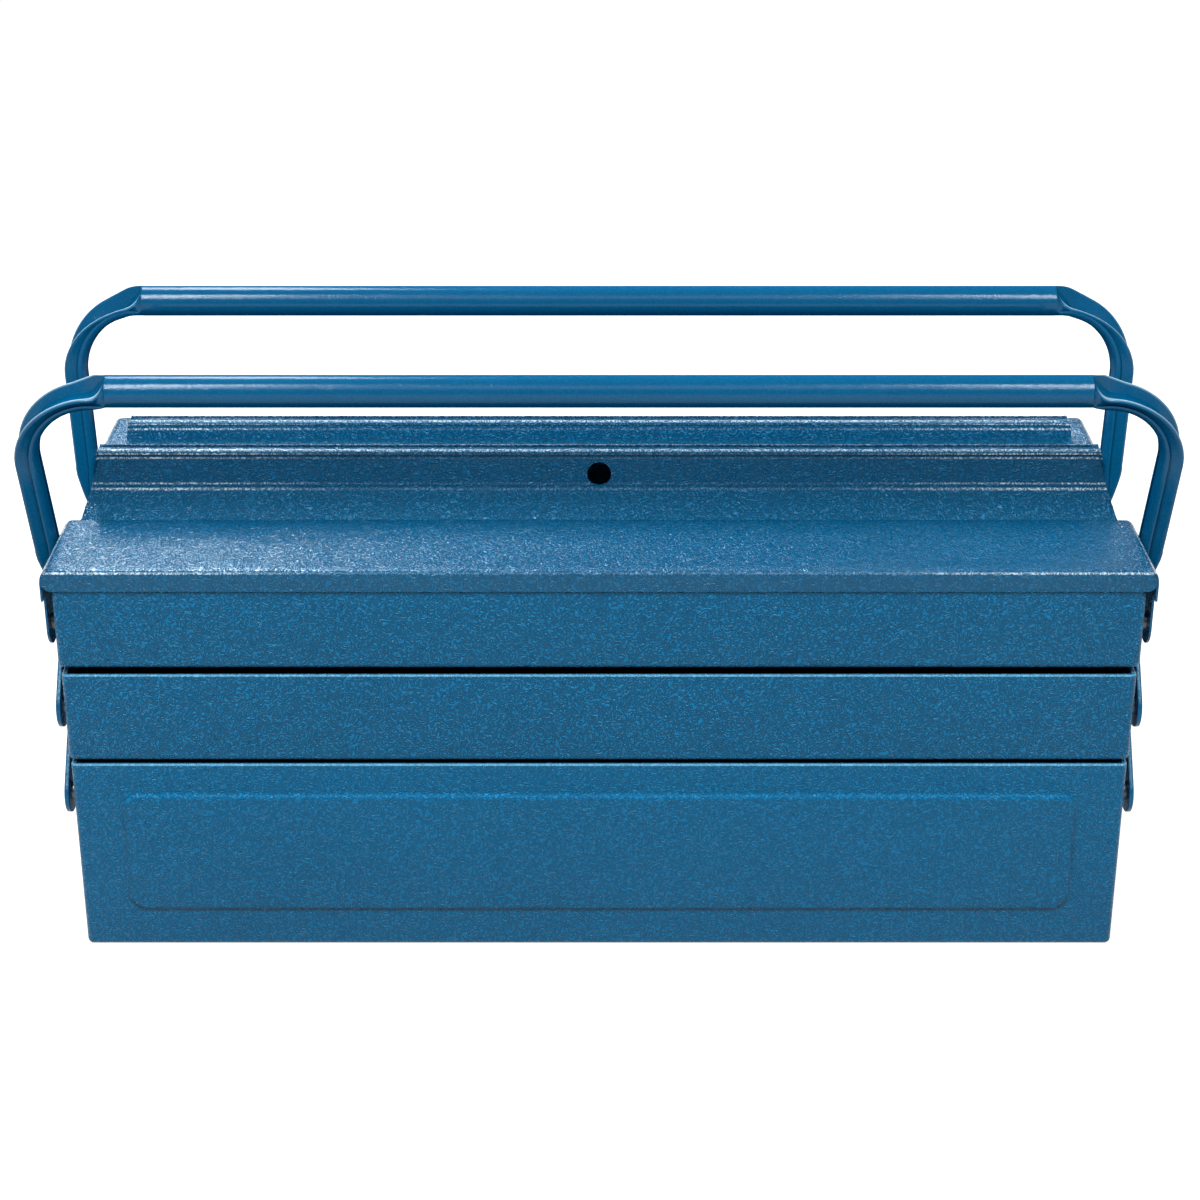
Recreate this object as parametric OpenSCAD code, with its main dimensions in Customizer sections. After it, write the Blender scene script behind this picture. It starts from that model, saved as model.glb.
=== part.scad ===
// Cantilever toolbox of sheet steel: a deep base tray, two middle trays, two top trays,
// two lids and two tube handles, all joined by strip arms at both ends.
// Millimetres. The origin is on the floor under the middle of the box, the front is at -Y.

/* [Trays] */
// Length of the base tray from end to end
base_l = 500; // [440:1:560]
// How much longer each higher row of trays is than the row below it
row_extra = 1; // [0:0.25:2]
// Depth of the whole box from front to back
box_d = 200; // [190:1:230]
// Height of the base tray
base_h = 100; // [80:1:130]
// Height of a middle tray
mid_h = 45.5; // [40:0.5:52]
// Height of a top tray
top_h = 42; // [38:0.5:50]
// Thickness of the sheet steel
sheet = 1; // [0.8:0.1:1.4]
// Gap between the base tray's rim and the middle trays
base_gap = 1.5; // [1.3:0.1:4]
// Gap between a middle tray's rim and its top tray
mid_gap = 3; // [1.5:0.1:5]
// Gap between the front trays and the rear trays at the middle of the box
centre_gap = 1; // [0.6:0.1:3]
// Radius of a tray's upright corners
tray_r = 2.6; // [2.4:0.1:5]
// Height of the folded hem along a tray's rim
hem_h = 8; // [4:0.5:12]
// Thickness of the wall and its hem together
hem_t = 2.2; // [2:0.1:2.4]

/* [Raised Panel] */
// Length of the raised panel on the base tray's front and rear walls
panel_l = 457; // [300:1:470]
// Height of the raised panel
panel_h = 65; // [40:1:72]
// Height of the panel's lower edge above the floor
panel_z = 19.5; // [10:0.5:26]
// How far the panel stands out of the wall
panel_out = 1.2; // [0.6:0.1:1.2]
// Radius of the panel's corners
panel_r = 9; // [4:0.5:16]

/* [Arms And Rivets] */
// Width of a strip arm
arm_w = 21; // [18:0.5:22]
// Thickness of a strip arm
arm_t = 2.2; // [1.6:0.1:2.4]
// Distance from the top trays' ends to the arms
arm_off = 1.8; // [1.6:0.1:2.4]
// Distance from the box's front face to the first pivot of each row
pivot_in = 15; // [13:0.5:18]
// Distance from the base tray's rim down to its pivots
base_pivot_drop = 22; // [16:0.5:28]
// Height of the arm pivots above a top tray's floor
top_pivot_up = 20; // [15:0.5:22]
// Radius of a rivet's journal, on which an arm turns
journal_r = 3; // [2.5:0.1:3.2]
// Radius of a rivet's shank in the tray's wall
shank_r = 2.5; // [2:0.1:2.8]
// Radius of a rivet's shoulder between tray and arm
shoulder_r = 4.5; // [4:0.1:5.5]
// Radius of an arm rivet's outer head
head_r = 5.4; // [4.5:0.1:6.5]
// Height of a rivet's heads
head_h = 1.5; // [1:0.1:2]
// Radial running clearance of an arm on its journal
run_gap = 0.05; // [0.02:0.01:0.1]
// Radial clearance at the two pivots that close the linkage
loop_gap = 0.3; // [0.2:0.05:0.4]
// Side play between an arm, its shoulder and its head
side_gap = 0.1; // [0.05:0.01:0.2]

/* [Lids] */
// Height of the flat lid panel above the top tray's rim
lid_rise = 8; // [5:0.5:12]
// Depth of the lip at the lid's outer edge
lip_h = 10; // [9:0.5:14]
// Gap between the lip and the tray's wall
lip_gap = 0.3; // [0.2:0.05:0.6]
// Radius of the lip's cut corners
lip_r = 8; // [4:0.5:9]
// Distance from the top trays' ends to the inside of a lid's end flange
flange_off = 3.5; // [3.2:0.1:4.5]
// Height of a lid's end flange
flange_h = 15; // [12:0.5:16]
// Length of a lid's end flange from front to back
flange_l = 56; // [45:0.5:59]
// Height of the lid pivot above a top tray's floor
lid_pivot_up = 18; // [15:0.5:20]
// Radius of the ear that turns on the lid pivot
ear_r = 10.5; // [9:0.5:11.5]
// Width of the flat lid panel from front to back
flat_w = 62.3; // [56:0.1:64]
// Length of the front lid's raised centre at its foot
raised_l = 491.6; // [460:0.2:496]
// How much shorter each end of the rear lid's raised centre is
rear_short = 8.6; // [0:0.2:14]
// How far each end of the raised centre leans in over its height
end_lean = 5.4; // [2:0.2:8]
// Width of the slope between the flat panel and the riser
slope_w = 14; // [10:0.5:16]
// Height that the slope climbs
slope_h = 10.5; // [7:0.5:13]
// Height of the ridge above the flat panel
ridge_up = 29.6; // [25:0.1:30]
// Width of the ridge's top
ridge_w = 10; // [7:0.5:12]
// How far the centre strip lies below the ridge's top
strip_drop = 10; // [8:0.5:14]
// Gap between the two lids where they meet
lid_part = 0.7; // [0.6:0.1:2]
// Height of the raised centre's walls above the top tray's rim
wall_up = 2.5; // [1:0.1:5]
// Radius of the bends that show on the lids
bend_r = 2; // [1.5:0.1:2.4]
// Width of the strip by which a raised centre is welded under the flat panel
weld_w = 6; // [4:0.5:9]
// Gap between the flat panel's rear edge and the bend at the slope's foot
weld_gap = 0.3; // [0.1:0.05:0.8]
// Radius of the padlock hole in the front riser
lock_r = 5.75; // [4:0.05:6]
// Height of the padlock hole's centre above the riser's foot
lock_up = 7.3; // [6.5:0.1:9]

/* [Handles] */
// Radius of the handle tube
tube_r = 7.5; // [6.5:0.1:8]
// Wall of the handle tube
tube_wall = 1.2; // [0.8:0.1:2]
// Distance from the handle's pivot to the middle of its bar
reach = 106.7; // [100:0.1:112]
// Lean of the handle away from the other handle, in degrees
lean = 10.3; // [8:0.1:12]
// Distance from the round stretch's end to the start of the bend
dent_l = 6; // [4:0.5:12]
// Radius of the bend at its inner side
bend_in = 27; // [20:0.5:32]
// Depth of the pressed channel section of the legs
channel_d = 12; // [9:0.5:13]
// Width of the channel section
channel_w = 14; // [12.5:0.5:15]
// Thickness of the channel's folded walls
channel_t = 2.4; // [2:0.1:2.6]
// Angle by which the legs turn inwards below the bend, in degrees
leg_turn = 4; // [2:0.1:5]
// Height of the upright foot above the handle's pivot
foot_h = 24; // [18:0.5:30]
// Gap between a lid's end flange and the handle's foot
foot_gap = 0.4; // [0.3:0.05:0.8]
// Radius of the head of a handle rivet
foot_head_r = 4.2; // [3.6:0.1:4.4]
// Radius of the stud on which a handle rests
stop_r = 2.5; // [2:0.1:3]
// Height of the collar at that stud's foot
stop_collar = 1; // [0.5:0.1:1.2]
// Distance of that stud from the handle's pivot along the leg
stop_up = 13; // [12.5:0.1:14]

/* [Dividers] */
// Height of a middle tray's divider
mid_div_h = 34; // [20:0.5:36]
// Height of a top tray's divider
top_div_h = 30; // [20:0.5:32]
// Width of the foot that is folded from a divider
div_foot = 9; // [5:0.5:14]
// Gap between a divider's ends and the tray's walls
div_gap = 0.3; // [0.1:0.05:0.6]

/* [Hidden] */

// A little more than a wall, for clean cuts
cut = 0.5;
blue = [0.12, 0.38, 0.55];
steel = [0.62, 0.64, 0.66];

// Levels of the three rows
mid_z = base_h + base_gap;
top_z = mid_z + mid_h + mid_gap;
rim_z = top_z + top_h;
lid_z = rim_z + lid_rise;

// Half lengths of the three rows
base_x = base_l / 2;
mid_x = base_x + row_extra / 2;
top_x = mid_x + row_extra;
half_d = box_d / 2;
tray_d = half_d - centre_gap / 2;

// Pivots in the front half, as [y, z]: each row has the same three places from front to back
row_y0 = -half_d + pivot_in;
row_y2 = -centre_gap / 2 - arm_w / 2;
row_y1 = (row_y0 + row_y2) / 2;
base_pz = base_h - base_pivot_drop;
top_pz = top_z + top_pivot_up;
mid_pz = (base_pz + top_pz) / 2;
lid_pz = top_z + lid_pivot_up;

// Places along X, from the trays' ends outwards
arm_x = top_x + arm_off;
arm_out_x = arm_x + arm_t;
flange_x = top_x + flange_off;
lid_x = flange_x + sheet;
foot_x = lid_x + foot_gap;

// Heights and places on a front lid, as its outer skin has them
lid_y0 = -half_d - lip_gap - sheet;
flat_y = lid_y0 + flat_w;
riser_y = flat_y + slope_w;
ridge_y = riser_y + ridge_w;
strip_y = -lid_part / 2;
slope_z = lid_z + slope_h;
ridge_z = lid_z + ridge_up;
strip_z = ridge_z - strip_drop;
wall_z = rim_z + wall_up;
lock_z = slope_z + lock_up;

// Corner of a path turned into an arc of radius r
function unit(v) = v / norm(v);
function arc_at(a, b, c, r, n) =
    let (u = unit(a - b), w = unit(c - b),
         half = acos(max(-1, min(1, u * w))) / 2,
         mid = unit(u + w),
         o = b + mid * r / sin(half),
         side = sign(u[0] * w[1] - u[1] * w[0]),
         open = 180 - 2 * half)
    [for (i = [0:n])
        let (t = (0.5 - i / n) * open * side)
        o - r * [mid[0] * cos(t) - mid[1] * sin(t), mid[0] * sin(t) + mid[1] * cos(t)]];
function bent(p, r, n) =
    concat([p[0]],
           [for (i = [1:len(p) - 2]) each arc_at(p[i - 1], p[i], p[i + 1], r, n)],
           [p[len(p) - 1]]);

// The same path moved to its right-hand side by t
function edge_n(a, b) = let (d = unit(b - a)) [d[1], -d[0]];
function shifted(p, t) =
    [for (i = [0:len(p) - 1])
        let (n1 = edge_n(p[max(i - 1, 0)], p[max(i, 1)]),
             n2 = edge_n(p[min(i, len(p) - 2)], p[min(i + 1, len(p) - 1)]))
        p[i] + (n1 + n2) * t / (1 + n1 * n2)];
function backwards(p) = [for (i = [len(p) - 1:-1:0]) p[i]];

// Section of a bent sheet: its outer skin is the path p
module sheet_section(p, t) polygon(concat(p, backwards(shifted(p, t))));

// Stands a drawing in the Y-Z plane and carries it along X from x0 to x1
module along_x(x0, x1)
    translate([x0, 0, 0])
        rotate([90, 0, 90])
            linear_extrude(x1 - x0) children();

// Rod along X from x0 to x1 at [y, z]
module rod(x0, x1, y, z, r)
    translate([x0, y, z])
        rotate([0, 90, 0])
            cylinder(h = x1 - x0, r = r, $fn = 48);

module both_ends() {
    children();
    mirror([1, 0, 0]) children();
}

module rear() mirror([0, 1, 0]) children();

// Rectangle with round corners, centred
module round_rect(l, d, r) {
    square([l - 2 * r, d], center = true);
    square([l, d - 2 * r], center = true);
    for (x = [-1, 1], y = [-1, 1])
        translate([x * (l / 2 - r), y * (d / 2 - r)]) circle(r = r, $fn = 48);
}

// Upright block with round corners, from z0 to z1 between y0 and y1
module round_block(hx, y0, y1, z0, z1, r)
    translate([0, (y0 + y1) / 2, z0])
        linear_extrude(z1 - z0) round_rect(2 * hx, y1 - y0, r);

// Open tray with a folded hem along its rim
module tray(hx, y0, y1, z0, h) {
    in_r = max(tray_r - sheet, 0.3);
    hem_r = max(tray_r - hem_t, 0.2);
    difference() {
        round_block(hx, y0, y1, z0, z0 + h, tray_r);
        round_block(hx - sheet, y0 + sheet, y1 - sheet, z0 + sheet, z0 + h - hem_h, in_r);
        round_block(hx - hem_t, y0 + hem_t, y1 - hem_t, z0 + h - hem_h - 0.1, z0 + h + cut, hem_r);
    }
}

// Holes through both end walls for rivets at the given [y, z] places
module end_holes(hx, places)
    for (p = places)
        rod(-hx - cut, hx + cut, p[0], p[1], shank_r);

// Plate of the raised panel in a wall whose outer face is at y
module panel_plate(y, l, h, t, r)
    translate([0, y + t, panel_z + panel_h / 2])
        rotate([90, 0, 0])
            linear_extrude(t) round_rect(l, h, r);

module base_tray_half_panel() {
    panel_plate(-half_d - panel_out, panel_l, panel_h, panel_out + sheet / 2, panel_r);
}

module base_tray_panel_hollow()
    panel_plate(-half_d - panel_out + sheet, panel_l - 2 * sheet, panel_h - 2 * sheet,
                panel_out + cut, panel_r - sheet);

module base_tray() color(blue)
    difference() {
        union() {
            tray(base_x, -half_d, half_d, 0, base_h);
            base_tray_half_panel();
            rear() base_tray_half_panel();
        }
        base_tray_panel_hollow();
        rear() base_tray_panel_hollow();
        end_holes(base_x, base_places);
        rear() end_holes(base_x, base_places);
    }

base_places = [[row_y0, base_pz], [row_y1, base_pz]];
mid_places = [[row_y0, mid_pz], [row_y1, mid_pz], [row_y2, mid_pz]];
top_places = [[row_y0, lid_pz], [row_y1, top_pz], [row_y2, top_pz]];

// The stud lies where the leaning leg's outer side meets it
stop_off = channel_w / 2 + stop_r + side_gap;
stop_y = row_y1 - stop_up * sin(lean) - stop_off * cos(lean);
stop_z = top_pz + stop_up * cos(lean) - stop_off * sin(lean);

module mid_tray() color(blue)
    difference() {
        tray(mid_x, -half_d, -centre_gap / 2, mid_z, mid_h);
        end_holes(mid_x, mid_places);
    }

module top_tray() color(blue)
    difference() {
        tray(top_x, -half_d, -centre_gap / 2, top_z, top_h);
        end_holes(top_x, top_places);
        end_holes(top_x, [[stop_y, stop_z]]);
    }

// Upright plate across a tray with a folded foot
module divider(z, h) color(blue) {
    y0 = -half_d + sheet + div_gap;
    y1 = -centre_gap / 2 - sheet - div_gap;
    translate([-sheet / 2, y0, z + sheet]) cube([sheet, y1 - y0, h]);
    translate([-sheet / 2, y0, z + sheet]) cube([div_foot, y1 - y0, sheet]);
}

// Shouldered rivet in the end wall at x = wall, with its head past x = last
module rivet(wall, first, last, p, r) {
    head_x = last + side_gap;
    rod(wall - sheet - head_h, wall - sheet, p[0], p[1], shoulder_r);
    rod(wall - sheet - 0.01, wall + 0.01, p[0], p[1], shank_r);
    rod(wall, first - side_gap, p[0], p[1], shoulder_r);
    rod(first - side_gap - 0.01, head_x + 0.01, p[0], p[1], journal_r);
    translate([head_x, p[0], p[1]])
        rotate([0, 90, 0]) {
            cylinder(h = head_h / 2, r = r, $fn = 48);
            translate([0, 0, head_h / 2 - 0.01])
                cylinder(h = head_h / 2, r1 = r, r2 = r * 0.62, $fn = 48);
        }
}

module base_rivets() color(steel)
    both_ends()
        for (p = base_places) {
            rivet(base_x, arm_x, arm_out_x, p, head_r);
            rear() rivet(base_x, arm_x, arm_out_x, p, head_r);
        }

module mid_rivets() color(steel)
    both_ends()
        for (p = mid_places)
            rivet(mid_x, arm_x, arm_out_x, p, head_r);

module top_rivets() color(steel)
    both_ends() {
        rivet(top_x, flange_x, lid_x, top_places[0], head_r);
        rivet(top_x, arm_x, foot_x + channel_t, top_places[1], foot_head_r);
        rivet(top_x, arm_x, arm_out_x, top_places[2], head_r);
    }

// Stud on which a handle leans, welded into the top tray's end wall
module handle_stops() color(steel)
    both_ends() {
        rod(top_x - sheet, top_x, stop_y, stop_z, shank_r);
        rod(top_x, top_x + stop_collar, stop_y, stop_z, stop_r + stop_collar);
        rod(top_x, foot_x + channel_d / 2, stop_y, stop_z, stop_r);
    }

// Strip arm with round ends through a list of pivots, the bore radii given beside it
module arm(pivots, bores) color(blue) {
    a = pivots[0];
    b = pivots[len(pivots) - 1];
    turn = atan2(b[1] - a[1], b[0] - a[0]);
    difference() {
        union() {
            for (p = [a, b])
                rod(arm_x, arm_out_x, p[0], p[1], arm_w / 2);
            translate([arm_x, a[0], a[1]])
                rotate([turn, 0, 0])
                    translate([0, 0, -arm_w / 2])
                        cube([arm_t, norm(b - a), arm_w]);
        }
        for (i = [0:len(pivots) - 1])
            rod(arm_x - cut, arm_out_x + cut, pivots[i][0], pivots[i][1], bores[i]);
    }
}

module long_arm()
    arm([[row_y0, base_pz], [row_y1, mid_pz], [row_y2, top_pz]],
        [for (i = [0:2]) journal_r + run_gap]);

module lower_arm()
    arm([[row_y1, base_pz], [row_y2, mid_pz]],
        [journal_r + run_gap, journal_r + loop_gap]);

module upper_arm()
    arm([[row_y0, mid_pz], [row_y1, top_pz]],
        [journal_r + loop_gap, journal_r + run_gap]);

// The raised centre starts with a strip that lies under the flat panel's rear edge
weld_z = lid_z - sheet;
slope_turn = atan2(slope_z - weld_z, riser_y - flat_y);
panel_y1 = flat_y - bend_r * tan(slope_turn / 2) - weld_gap;

// Outer skin of the raised centre from that strip to the parting edge
raised_path = [[flat_y - weld_w, weld_z], [flat_y, weld_z], [riser_y, slope_z], [riser_y, ridge_z],
    [ridge_y, ridge_z], [ridge_y, strip_z], [strip_y, strip_z], [strip_y, wall_z]];

// Region under the raised skin, which is moved in by t, down to height z
module raised_region(t, z) {
    p = shifted(bent(raised_path, bend_r, 6), t);
    polygon(concat([[p[0][0], z]], [for (v = p) [v[0], max(v[1], z)]], [[p[len(p) - 1][0], z]]));
}

// Takes away what lies outside two end planes that lean in above the flat panel
module lean_cut(hx) {
    tilt = atan(end_lean / ridge_up);
    both_ends()
        translate([hx, lid_y0 - cut, lid_z])
            rotate([0, -tilt, 0])
                cube([40, half_d + 40, 60]);
}

// Raised centre of a lid, folded up over the slope to the ridge, with its two end walls
module raised_centre(hx)
    difference() {
        along_x(-hx, hx) raised_region(0, wall_z);
        lean_cut(hx);
        difference() {
            along_x(-hx + sheet, hx - sheet) raised_region(sheet, wall_z - cut);
            lean_cut(hx - sheet);
        }
    }

// Front lip and flat panel, a bent sheet over the full length of the lid
module lid_panel() {
    p = bent([[lid_y0, lid_z - lip_h], [lid_y0, lid_z], [panel_y1, lid_z]], bend_r, 6);
    difference() {
        along_x(-lid_x, lid_x) sheet_section(p, sheet);
        // Rounded lower corners of the lip
        both_ends()
            translate([lid_x - lip_r, lid_y0 - cut, lid_z - lip_h + lip_r])
                rotate([-90, 0, 0])
                    difference() {
                        cube([lip_r + cut, lip_r + cut, sheet + 2 * cut]);
                        translate([0, 0, -cut]) cylinder(h = sheet + 4 * cut, r = lip_r, $fn = 64);
                    }
        // Rounded rear corners of the flat panel
        both_ends()
            translate([lid_x - lip_r / 2, panel_y1 - lip_r / 2, lid_z - sheet - cut])
                difference() {
                    cube([lip_r, lip_r, sheet + 2 * cut]);
                    translate([0, 0, -cut]) cylinder(h = sheet + 4 * cut, r = lip_r / 2, $fn = 64);
                }
    }
}

// End flange with the ear that turns on the lid rivet
module lid_flange()
    difference() {
        union() {
            translate([flange_x, lid_y0 + sheet, lid_z - flange_h])
                cube([sheet, flange_l, flange_h - sheet / 2]);
            translate([flange_x, row_y0 - ear_r, lid_pz])
                cube([sheet, 2 * ear_r, lid_z - lid_pz - sheet]);
            rod(flange_x, lid_x, row_y0, lid_pz, ear_r);
        }
        rod(flange_x - cut, lid_x + cut, row_y0, lid_pz, journal_r + run_gap);
    }

module lid() color(blue)
    union() {
        lid_panel();
        both_ends() lid_flange();
    }

// Front raised centre with the padlock hole in its riser
module front_lid_ridge() color(blue)
    difference() {
        raised_centre(raised_l / 2);
        translate([0, riser_y - cut, lock_z])
            rotate([-90, 0, 0]) cylinder(h = sheet + 2 * cut, r = lock_r, $fn = 64);
    }

// Section of the pressed leg: x runs outwards from the bend's centre, y across the leg
module channel_section() {
    r = 3;
    difference() {
        union() {
            translate([bend_in + channel_d / 2, 0]) round_rect(channel_d, channel_w, r);
            translate([bend_in + channel_d - r, -channel_w / 2]) square([r, channel_w]);
        }
        translate([bend_in + channel_t, -channel_w / 2 + channel_t])
            square([channel_d, channel_w - 2 * channel_t]);
    }
}

// Bend of the channel: a ring of it, cut to the sector between the bar and the leg
module handle_bend() {
    far = bend_in + 2 * channel_d;
    intersection() {
        rotate_extrude($fn = 96) channel_section();
        translate([0, 0, -channel_w])
            linear_extrude(2 * channel_w)
                polygon([[0, 0], [far, -far * tan(leg_turn)], [far, far], [0, far]]);
    }
}

// The leg runs a little into the foot, and the bend stands over where the leg has to end
leg_lap = 2;
leg_step = 0.15;
bend_z = reach - bend_in - tube_r;
leg_l = (bend_z - bend_in * sin(leg_turn) - foot_h + leg_lap) / cos(leg_turn);
bend_x = foot_x + leg_step - bend_in * cos(leg_turn) + leg_l * sin(leg_turn);
bar_half = bend_x - dent_l;

// Handle standing upright over its pivot, which is at the origin's height
module handle_upright()
    difference() {
        union() {
            difference() {
                rod(-bar_half, bar_half, 0, reach, tube_r);
                rod(-bar_half + tube_wall, bar_half - tube_wall, 0, reach, tube_r - tube_wall);
            }
            both_ends() {
                // Straight start of the channel beside the round bar
                translate([bar_half, 0, bend_z])
                    rotate([90, 0, 90])
                        linear_extrude(dent_l)
                            rotate([0, 0, 90]) channel_section();
                // Bend
                translate([bend_x, 0, bend_z])
                    rotate([90, 0, 0])
                        handle_bend();
                // Leg
                translate([bend_x, 0, bend_z])
                    rotate([0, leg_turn, 0])
                        translate([0, 0, -leg_l])
                            linear_extrude(leg_l) channel_section();
                // Upright foot with its eye
                translate([foot_x - bend_in, 0, 0])
                    linear_extrude(foot_h) channel_section();
                rod(foot_x, foot_x + channel_t, 0, 0, channel_w / 2);
            }
        }
        both_ends()
            rod(foot_x - cut, foot_x + channel_t + cut, 0, 0, journal_r + run_gap);
    }

module handle() color(blue)
    translate([0, row_y1, top_pz])
        rotate([lean, 0, 0])
            handle_upright();

module front_mid_tray() mid_tray();
module front_mid_divider() divider(mid_z, mid_div_h);
module front_mid_rivets() mid_rivets();
module front_top_tray() top_tray();
module front_top_divider() divider(top_z, top_div_h);
module front_top_rivets() top_rivets();
module front_handle_stops() handle_stops();
module front_lid() lid();
module front_handle() handle();
module front_long_arm_right() long_arm();
module front_long_arm_left() mirror([1, 0, 0]) long_arm();
module front_lower_arm_right() lower_arm();
module front_lower_arm_left() mirror([1, 0, 0]) lower_arm();
module front_upper_arm_right() upper_arm();
module front_upper_arm_left() mirror([1, 0, 0]) upper_arm();

module rear_mid_tray() rear() mid_tray();
module rear_mid_divider() rear() divider(mid_z, mid_div_h);
module rear_mid_rivets() rear() mid_rivets();
module rear_top_tray() rear() top_tray();
module rear_top_divider() rear() divider(top_z, top_div_h);
module rear_top_rivets() rear() top_rivets();
module rear_handle_stops() rear() handle_stops();
module rear_lid() rear() lid();
module rear_lid_ridge() color(blue) rear() raised_centre(raised_l / 2 - rear_short);
module rear_handle() rear() handle();
module rear_long_arm_right() rear() long_arm();
module rear_long_arm_left() rear() mirror([1, 0, 0]) long_arm();
module rear_lower_arm_right() rear() lower_arm();
module rear_lower_arm_left() rear() mirror([1, 0, 0]) lower_arm();
module rear_upper_arm_right() rear() upper_arm();
module rear_upper_arm_left() rear() mirror([1, 0, 0]) upper_arm();

base_tray();
base_rivets();
front_mid_tray();
front_mid_divider();
front_mid_rivets();
front_top_tray();
front_top_divider();
front_top_rivets();
front_handle_stops();
front_lid();
front_lid_ridge();
front_handle();
front_long_arm_left();
front_long_arm_right();
front_lower_arm_left();
front_lower_arm_right();
front_upper_arm_left();
front_upper_arm_right();
rear_mid_tray();
rear_mid_divider();
rear_mid_rivets();
rear_top_tray();
rear_top_divider();
rear_top_rivets();
rear_handle_stops();
rear_lid();
rear_lid_ridge();
rear_handle();
rear_long_arm_left();
rear_long_arm_right();
rear_lower_arm_left();
rear_lower_arm_right();
rear_upper_arm_left();
rear_upper_arm_right();
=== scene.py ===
"""Dresses the cantilever toolbox: bent sheet trays and lids, pressed tube handles, strip arms and rivets.

Sizes are in millimetres and become metres when a mesh is made. The front of the box is at -Y, and each
rear piece is the front one turned to the other side of the middle plane.
"""
import logging
import math
from collections.abc import Iterable, Iterator
from contextlib import contextmanager
from dataclasses import dataclass, field
from enum import Enum

import bmesh
import bpy
import numpy as np
from bpy.types import Material, Mesh, Node, NodeSocket as Socket, NodeTree, Object
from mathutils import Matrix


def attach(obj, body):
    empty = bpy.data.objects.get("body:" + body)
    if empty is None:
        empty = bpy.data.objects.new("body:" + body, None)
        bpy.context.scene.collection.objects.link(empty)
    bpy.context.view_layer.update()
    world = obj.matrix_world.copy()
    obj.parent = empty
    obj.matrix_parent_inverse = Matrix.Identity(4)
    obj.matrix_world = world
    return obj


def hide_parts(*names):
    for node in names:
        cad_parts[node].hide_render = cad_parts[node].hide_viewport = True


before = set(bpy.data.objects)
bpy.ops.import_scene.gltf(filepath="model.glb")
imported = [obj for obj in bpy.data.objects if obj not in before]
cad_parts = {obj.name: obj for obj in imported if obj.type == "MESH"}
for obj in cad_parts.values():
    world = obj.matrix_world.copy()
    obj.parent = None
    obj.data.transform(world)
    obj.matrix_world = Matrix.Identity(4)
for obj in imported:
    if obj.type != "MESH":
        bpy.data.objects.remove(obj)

LOG = logging.getLogger("toolbox")
MM = 0.001
WELD = 0.004
SMOOTH_UNDER = 40.0
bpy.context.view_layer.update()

Array = np.ndarray
Point = tuple[float, float]
Vector = tuple[float, float, float]
Level = tuple[float, float, float, float]
Colour = tuple[float, float, float, float]
Groups = dict[str, NodeTree]


class Way(Enum):
    """One of the two ways along an axis, with its sign."""

    @property
    def word(self) -> str:
        """Its name as the part's nodes have it."""
        return self.name.lower()


class Side(Way):
    """Half of the box that a piece belongs to, with the factor that a front piece's Y gets there."""

    FRONT = 1.0
    REAR = -1.0


class End(Way):
    """End of the box, with the sign of its X."""

    LEFT = -1.0
    RIGHT = 1.0


class Surface(Enum):
    """Names of the record's finish slots."""

    PAINT = "blue_paint"
    ZINC = "zinc_steel"


def srgb(red: int, green: int, blue: int) -> Colour:
    """Turns an 8-bit colour into linear light: the lower end is a line and the rest a power of 2.4."""
    v = np.array([red, green, blue]) / 255
    linear = np.where(v <= 0.04045, v / 12.92, ((v + 0.055) / 1.055) ** 2.4)
    return (*linear.tolist(), 1.0)


def ease(t: float) -> float:
    """Smooth step from 0 to 1: t * t * (3 - 2 t), with t kept between 0 and 1."""
    t = min(max(t, 0.0), 1.0)
    return t * t * (3 - 2 * t)


def spread(*axes: float | Array) -> Array:
    """Points from their two or three coordinates, which are spread to one common shape."""
    return np.stack(np.broadcast_arrays(*axes), axis=-1)


def arc(centre: Point, radius: float, start: float, end: float, steps: int) -> Array:
    """Points centre + radius * (cos a, sin a), with a going from start to end, in degrees, in even steps."""
    a = np.radians(np.linspace(start, end, steps + 1))
    return spread(centre[0] + radius * np.cos(a), centre[1] + radius * np.sin(a))


def rounded_path(points: list[Point], radii: list[float], steps: int = 6) -> Array:
    """Polyline with round corners: at each inner point b the arc that touches both legs takes its place.

    The arc's centre lies on the corner's bisector at radius / sin(half the corner's angle).

    Args:
        points: The polyline's points.
        radii: Corner radius at each inner point.
        steps: Pieces of each arc.

    Returns:
        The points of the rounded path.
    """
    p = np.array(points, dtype=float)
    rows = [p[:1]]
    for a, b, c, r in zip(p[:-2], p[1:-1], p[2:], radii):
        u, w = (a - b) / np.linalg.norm(a - b), (c - b) / np.linalg.norm(c - b)
        half = math.acos(max(-1.0, min(1.0, float(u @ w)))) / 2
        mid = (u + w) / np.linalg.norm(u + w)
        centre = b + mid * r / math.sin(half)
        turn = -math.copysign(math.pi / 2 - half, u[0] * w[1] - u[1] * w[0])
        t = np.linspace(-turn, turn, steps + 1)
        out = -mid
        rows.append(centre + r * spread(out[0] * np.cos(t) + out[1] * np.sin(t),
                                        -out[0] * np.sin(t) + out[1] * np.cos(t)))
    return np.concatenate([*rows, p[-1:]])


def rounded_box_ring(half_x: float, half_y: float, radii: tuple[float, float], steps: int = 8) -> Array:
    """Rectangle with round corners, anticlockwise; radii are those at its lower and at its upper side."""
    low, high = radii
    corners = ((1, -1, low), (1, 1, high), (-1, 1, high), (-1, -1, low))
    return np.concatenate([arc((x * (half_x - r), y * (half_y - r)), r, 90 * k - 90, 90 * k, steps)
                           for k, (x, y, r) in enumerate(corners)])


def lengths(path: Array) -> Array:
    """Length along a path from its start to each of its points."""
    return np.concatenate([[0], np.cumsum(np.linalg.norm(np.diff(path, axis=0), axis=1))])


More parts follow.
